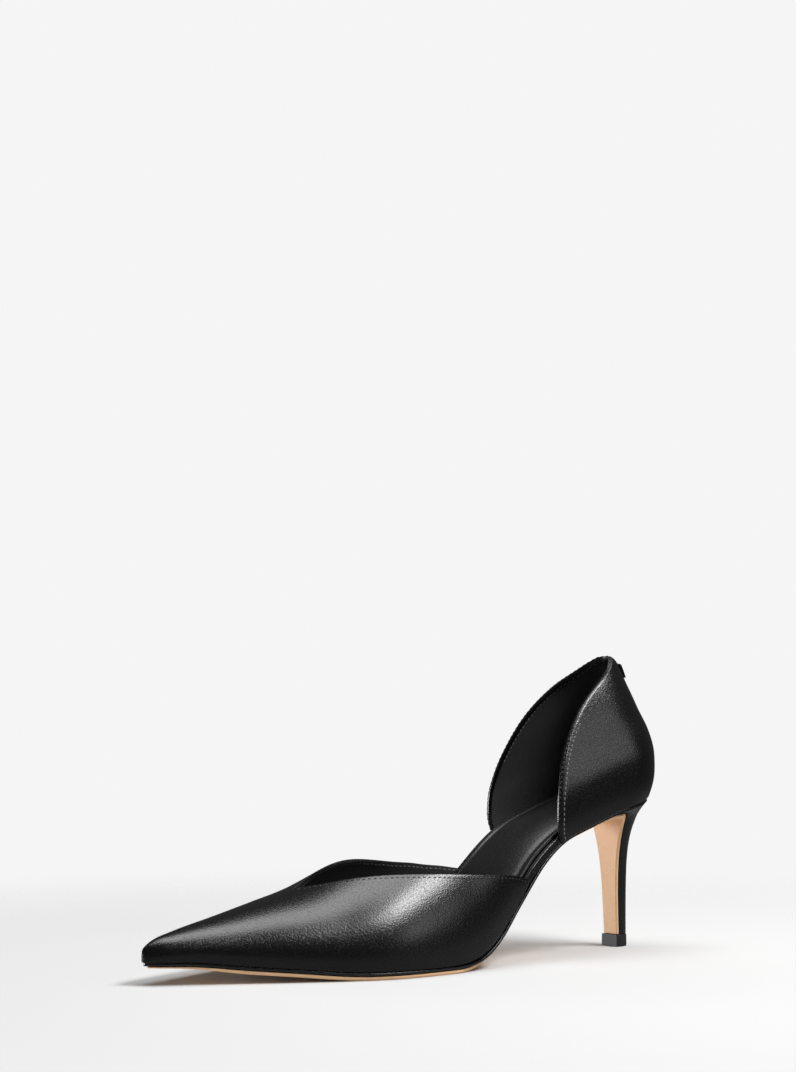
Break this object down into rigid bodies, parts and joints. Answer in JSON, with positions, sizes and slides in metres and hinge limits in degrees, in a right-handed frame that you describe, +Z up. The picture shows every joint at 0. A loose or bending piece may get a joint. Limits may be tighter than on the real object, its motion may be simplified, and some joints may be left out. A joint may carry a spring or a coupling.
{
  "type": "dorsay pump",
  "caption": "Pointed d'Orsay pump for the left foot, with a V throat, a separate high counter, a bare waist and a slim covered heel with a tan breast.",
  "frame": {"origin": "on the floor under the middle of the shoe's box", "axes": "+X towards the toe, +Y towards the outer side of the foot, which is the shoe's left, +Z up"},
  "size_m": [0.248, 0.0784, 0.1262],
  "materials": {
    "upper_leather": "smooth black calf with a soft sheen",
    "lining_leather": "black lining leather, satin",
    "black_edge": "black inked edge, glossy",
    "tan_sole": "tan sole leather, satin",
    "heel_cover": "black leather stretched over the heel",
    "top_piece": "matte black",
    "black_plate": "black, satin"
  },
  "bodies": {
    "root": {"vamp": "upper_leather", "counter": "upper_leather", "back_plate": "black_plate", "midsole": "black_edge", "outsole": "tan_sole", "insole_board": "lining_leather", "sock": "lining_leather", "heel": "heel_cover", "heel_tip": "top_piece"}
  },
  "joints": []
}
